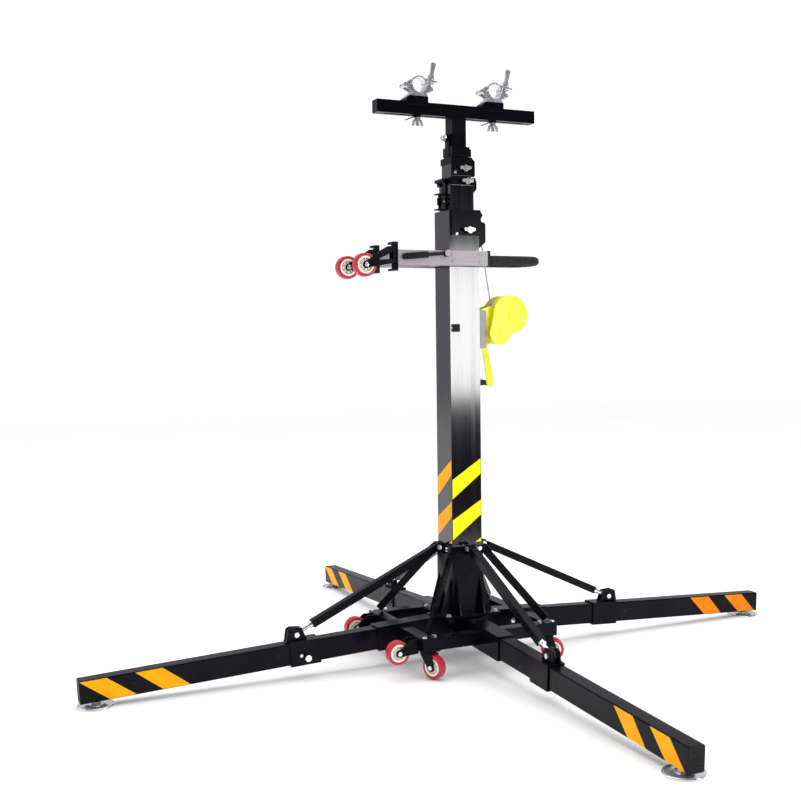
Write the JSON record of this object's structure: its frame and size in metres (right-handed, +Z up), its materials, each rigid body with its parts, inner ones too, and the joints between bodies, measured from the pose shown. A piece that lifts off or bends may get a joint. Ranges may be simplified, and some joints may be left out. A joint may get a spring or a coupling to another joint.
{
  "type": "crank lighting stand",
  "caption": "Telescopic crank-up lighting stand: braced cross base on feet and castors, nested square mast, hand winch, transport handle and a top bar with pipe clamps.",
  "frame": {"origin": "on the floor under the mast axis, with the feet at z = 0", "axes": "+Z up the mast; +X along the right leg, on the side of the winch and the grip; -Y along the front leg, towards the viewer"},
  "size_m": [2.536, 2.536, 1.9812],
  "materials": {
    "black_paint": "satin black powder coat",
    "zinc": "bright zinc plating",
    "aluminium": "satin anodised",
    "red_wheel": "smooth red tread on a cream hub",
    "yellow_paint": "gloss yellow paint",
    "foam": "fine black foam",
    "cable": "stranded galvanised wire rope"
  },
  "bodies": {
    "base": {"perimeter_frame": "black_paint", "leg_sockets": "black_paint", "mast_column": "black_paint", "leg_struts": "black_paint", "corner_braces": "black_paint", "strut_hardware": "zinc", "leg_sleeves": "black_paint", "mast_tube_1": "black_paint", "mast_head_1": "black_paint", "winch_bracket": "zinc", "winch_housing": "yellow_paint", "hoist_cable": "cable"},
    "section_2": {"mast_tube_2": "black_paint", "mast_head_2": "black_paint"},
    "section_3": {"mast_tube_3": "black_paint", "mast_head_3": "black_paint"},
    "section_4": {"mast_tube_4": "black_paint"},
    "head_pulley": {"head_pulley": "zinc"},
    "winch_drum": {"winch_drum": "zinc"},
    "winch_crank": {"winch_crank": "yellow_paint"},
    "crank_grip": {"crank_grip": "foam"},
    "t_bar": {"t_bar": "black_paint"},
    "stem_knob": {"stem_knob": "zinc"},
    "leg_left": {"leg_left": "black_paint"},
    "leg_plunger_left": {"leg_plunger_left": "zinc"},
    "leg_front": {"leg_front": "black_paint"},
    "leg_plunger_front": {"leg_plunger_front": "zinc"},
    "leg_right": {"leg_right": "black_paint"},
    "leg_plunger_right": {"leg_plunger_right": "zinc"},
    "leg_rear": {"leg_rear": "black_paint"},
    "leg_plunger_rear": {"leg_plunger_rear": "zinc"},
    "lock_plunger_1": {"lock_plunger_1": "zinc"},
    "lock_plunger_2": {"lock_plunger_2": "zinc"},
    "lock_plunger_3": {"lock_plunger_3": "zinc"},
    "castor_fork_front_left": {"castor_fork_front_left": "black_paint"},
    "castor_wheel_front_left": {"castor_wheel_front_left": "red_wheel"},
    "castor_fork_front_right": {"castor_fork_front_right": "black_paint"},
    "castor_wheel_front_right": {"castor_wheel_front_right": "red_wheel"},
    "castor_fork_rear_left": {"castor_fork_rear_left": "black_paint"},
    "castor_wheel_rear_left": {"castor_wheel_rear_left": "red_wheel"},
    "castor_fork_rear_right": {"castor_fork_rear_right": "black_paint"},
    "castor_wheel_rear_right": {"castor_wheel_rear_right": "red_wheel"},
    "side_wheel_front": {"side_wheel_front": "red_wheel"},
    "side_wheel_rear": {"side_wheel_rear": "red_wheel"},
    "handle": {"handle_frame": "aluminium", "handle_brackets": "black_paint", "handle_grip": "foam"},
    "handle_lever": {"handle_lever": "black_paint"},
    "handle_wheel_front": {"handle_wheel_front": "red_wheel"},
    "handle_wheel_rear": {"handle_wheel_rear": "red_wheel"},
    "clamp_left": {"clamp_saddle_left": "black_paint", "coupler_base_left": "zinc"},
    "coupler_jaw_left": {"coupler_jaw_left": "zinc"},
    "swing_bolt_left": {"swing_bolt_left": "zinc"},
    "wing_nut_left": {"wing_nut_left": "zinc"},
    "clamp_right": {"clamp_saddle_right": "black_paint", "coupler_base_right": "zinc"},
    "coupler_jaw_right": {"coupler_jaw_right": "zinc"},
    "swing_bolt_right": {"swing_bolt_right": "zinc"},
    "wing_nut_right": {"wing_nut_right": "zinc"}
  },
  "joints": [
    {"name": "section2_slide", "type": "slide", "parent": "base", "child": "section_2", "axis": [0, 0, 1], "range_m": [0, 1.1]},
    {"name": "section3_slide", "type": "slide", "parent": "section_2", "child": "section_3", "axis": [0, 0, 1], "range_m": [0, 1.1]},
    {"name": "section4_slide", "type": "slide", "parent": "section_3", "child": "section_4", "axis": [0, 0, 1], "range_m": [0, 1.1]},
    {"name": "head_pulley_spin", "type": "hinge", "parent": "base", "child": "head_pulley", "pos_m": [0.067, 0, 1.43], "axis": [0, 1, 0], "range_deg": [0, 3200]},
    {"name": "winch_drum_spin", "type": "hinge", "parent": "base", "child": "winch_drum", "pos_m": [0.175, 0, 1.153], "axis": [0, 1, 0], "range_deg": [-1500, 0]},
    {"name": "winch_crank_turn", "type": "hinge", "parent": "base", "child": "winch_crank", "pos_m": [0.13594, 0, 1.09192], "axis": [0, 1, 0], "range_deg": [0, 7100]},
    {"name": "crank_grip_spin", "type": "hinge", "parent": "winch_crank", "child": "crank_grip", "pos_m": [0.16317, 0.13, 0.91804], "axis": [0, 1, 0], "continuous": true},
    {"name": "leg_left_slide", "type": "slide", "parent": "base", "child": "leg_left", "axis": [-0.9988, 0, -0.0489], "range_m": [0, 0.2]},
    {"name": "leg_plunger_left_pull", "type": "slide", "parent": "base", "child": "leg_plunger_left", "axis": [0, -1, 0], "range_m": [0, 0.01], "stiffness_N_per_m": 800, "springref_m": -0.003},
    {"name": "leg_front_slide", "type": "slide", "parent": "base", "child": "leg_front", "axis": [0, -0.9988, -0.0489], "range_m": [0, 0.2]},
    {"name": "leg_plunger_front_pull", "type": "slide", "parent": "base", "child": "leg_plunger_front", "axis": [1, 0, 0], "range_m": [0, 0.01], "stiffness_N_per_m": 800, "springref_m": -0.003},
    {"name": "leg_right_slide", "type": "slide", "parent": "base", "child": "leg_right", "axis": [0.9988, 0, -0.0489], "range_m": [0, 0.2]},
    {"name": "leg_plunger_right_pull", "type": "slide", "parent": "base", "child": "leg_plunger_right", "axis": [0, 1, 0], "range_m": [0, 0.01], "stiffness_N_per_m": 800, "springref_m": -0.003},
    {"name": "leg_rear_slide", "type": "slide", "parent": "base", "child": "leg_rear", "axis": [0, 0.9988, -0.0489], "range_m": [0, 0.2]},
    {"name": "leg_plunger_rear_pull", "type": "slide", "parent": "base", "child": "leg_plunger_rear", "axis": [-1, 0, 0], "range_m": [0, 0.01], "stiffness_N_per_m": 800, "springref_m": -0.003},
    {"name": "lock_plunger_1_pull", "type": "slide", "parent": "base", "child": "lock_plunger_1", "axis": [0, -1, 0], "range_m": [0, 0.01], "stiffness_N_per_m": 800, "springref_m": -0.003},
    {"name": "lock_plunger_2_pull", "type": "slide", "parent": "section_2", "child": "lock_plunger_2", "axis": [0, -1, 0], "range_m": [0, 0.01], "stiffness_N_per_m": 800, "springref_m": -0.003},
    {"name": "lock_plunger_3_pull", "type": "slide", "parent": "section_3", "child": "lock_plunger_3", "axis": [0, -1, 0], "range_m": [0, 0.01], "stiffness_N_per_m": 800, "springref_m": -0.003},
    {"name": "castor_swivel_front_left", "type": "hinge", "parent": "base", "child": "castor_fork_front_left", "pos_m": [-0.215, -0.2, 0.088], "axis": [0, 0, 1], "continuous": true},
    {"name": "castor_roll_front_left", "type": "hinge", "parent": "castor_fork_front_left", "child": "castor_wheel_front_left", "pos_m": [-0.20536, -0.21977, 0.0405], "axis": [0.8988, 0.4384, 0], "continuous": true},
    {"name": "castor_swivel_front_right", "type": "hinge", "parent": "base", "child": "castor_fork_front_right", "pos_m": [0.215, -0.2, 0.088], "axis": [0, 0, 1], "continuous": true},
    {"name": "castor_roll_front_right", "type": "hinge", "parent": "castor_fork_front_right", "child": "castor_wheel_front_right", "pos_m": [0.23494, -0.2093, 0.0405], "axis": [0.4226, 0.9063, 0], "continuous": true},
    {"name": "castor_swivel_rear_left", "type": "hinge", "parent": "base", "child": "castor_fork_rear_left", "pos_m": [-0.215, 0.2, 0.088], "axis": [0, 0, 1], "continuous": true},
    {"name": "castor_roll_rear_left", "type": "hinge", "parent": "castor_fork_rear_left", "child": "castor_wheel_rear_left", "pos_m": [-0.20748, 0.22067, 0.0405], "axis": [-0.9397, 0.342, 0], "continuous": true},
    {"name": "castor_swivel_rear_right", "type": "hinge", "parent": "base", "child": "castor_fork_rear_right", "pos_m": [0.215, 0.2, 0.088], "axis": [0, 0, 1], "continuous": true},
    {"name": "castor_roll_rear_right", "type": "hinge", "parent": "castor_fork_rear_right", "child": "castor_wheel_rear_right", "pos_m": [0.23302, 0.21262, 0.0405], "axis": [-0.5736, 0.8192, 0], "continuous": true},
    {"name": "side_wheel_front_roll", "type": "hinge", "parent": "base", "child": "side_wheel_front", "pos_m": [-0.314, -0.18, 0.0895], "axis": [0, 1, 0], "continuous": true},
    {"name": "side_wheel_rear_roll", "type": "hinge", "parent": "base", "child": "side_wheel_rear", "pos_m": [-0.314, 0.18, 0.0895], "axis": [0, 1, 0], "continuous": true},
    {"name": "handle_slide", "type": "slide", "parent": "base", "child": "handle", "axis": [0, 0, 1], "range_m": [-0.015, 0.01]},
    {"name": "handle_lever_turn", "type": "hinge", "parent": "handle", "child": "handle_lever", "pos_m": [-0.083, -0.095, 1.351], "axis": [0, 1, 0], "range_deg": [-90, 0]},
    {"name": "handle_wheel_front_roll", "type": "hinge", "parent": "handle", "child": "handle_wheel_front", "pos_m": [-0.365, -0.0755, 1.31], "axis": [0, 1, 0], "continuous": true},
    {"name": "handle_wheel_rear_roll", "type": "hinge", "parent": "handle", "child": "handle_wheel_rear", "pos_m": [-0.365, 0.0755, 1.31], "axis": [0, 1, 0], "continuous": true},
    {"name": "t_bar_slide", "type": "slide", "parent": "section_4", "child": "t_bar", "axis": [0, 0, 1], "range_m": [0, 0.06]},
    {"name": "stem_knob_turn", "type": "hinge", "parent": "section_4", "child": "stem_knob", "pos_m": [-0.035, 0, 1.737], "axis": [1, 0, 0], "continuous": true},
    {"name": "clamp_left_slide", "type": "slide", "parent": "t_bar", "child": "clamp_left", "axis": [1, 0, 0], "range_m": [-0.055, 0.07]},
    {"name": "coupler_jaw_left_swing", "type": "hinge", "parent": "clamp_left", "child": "coupler_jaw_left", "pos_m": [-0.187, 0, 1.898], "axis": [0, 1, 0], "range_deg": [-3, 0]},
    {"name": "swing_bolt_left_swing", "type": "hinge", "parent": "clamp_left", "child": "swing_bolt_left", "pos_m": [-0.098, 0, 1.889], "axis": [0, 1, 0], "range_deg": [0, 95]},
    {"name": "wing_nut_left_turn", "type": "hinge", "parent": "clamp_left", "child": "wing_nut_left", "pos_m": [-0.14, 0, 1.78], "axis": [0, 0, 1], "continuous": true},
    {"name": "clamp_right_slide", "type": "slide", "parent": "t_bar", "child": "clamp_right", "axis": [1, 0, 0], "range_m": [-0.045, 0.08]},
    {"name": "coupler_jaw_right_swing", "type": "hinge", "parent": "clamp_right", "child": "coupler_jaw_right", "pos_m": [0.093, 0, 1.898], "axis": [0, 1, 0], "range_deg": [-3, 0]},
    {"name": "swing_bolt_right_swing", "type": "hinge", "parent": "clamp_right", "child": "swing_bolt_right", "pos_m": [0.182, 0, 1.889], "axis": [0, 1, 0], "range_deg": [0, 95]},
    {"name": "wing_nut_right_turn", "type": "hinge", "parent": "clamp_right", "child": "wing_nut_right", "pos_m": [0.14, 0, 1.78], "axis": [0, 0, 1], "continuous": true}
  ],
  "couplings": [
    {"joint": "section3_slide", "follows": "section2_slide", "ratio": 1},
    {"joint": "section4_slide", "follows": "section2_slide", "ratio": 1},
    {"joint": "head_pulley_spin", "follows": "section2_slide", "rad_per_m": 50},
    {"joint": "winch_drum_spin", "follows": "section2_slide", "rad_per_m": -23.419},
    {"joint": "winch_crank_turn", "follows": "section2_slide", "rad_per_m": 112.41}
  ]
}
